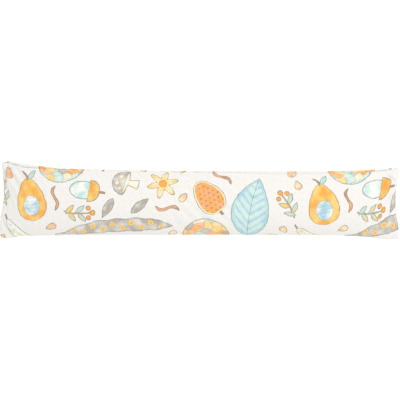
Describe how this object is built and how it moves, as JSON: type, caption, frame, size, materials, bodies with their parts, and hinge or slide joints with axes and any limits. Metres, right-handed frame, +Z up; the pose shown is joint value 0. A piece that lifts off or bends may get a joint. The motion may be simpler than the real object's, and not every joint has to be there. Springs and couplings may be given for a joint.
{
  "type": "draught excluder cushion",
  "caption": "Long fibre-filled cotton cushion that lies along the foot of a door, with sewn drawn-in ends, soft corner folds and a long side seam.",
  "frame": {"origin": "middle of the bounding box, at the height of the floor that the cushion lies on", "axes": "+X along the cushion, +Y towards the long seam, +Z up"},
  "size_m": [0.8796, 0.171, 0.0783],
  "materials": {
    "printed_cotton": "plain-weave cotton, matt off-white, printed in soft teal, orange, mustard and warm grey"
  },
  "bodies": {
    "root": {"cushion": "printed_cotton"}
  },
  "joints": []
}
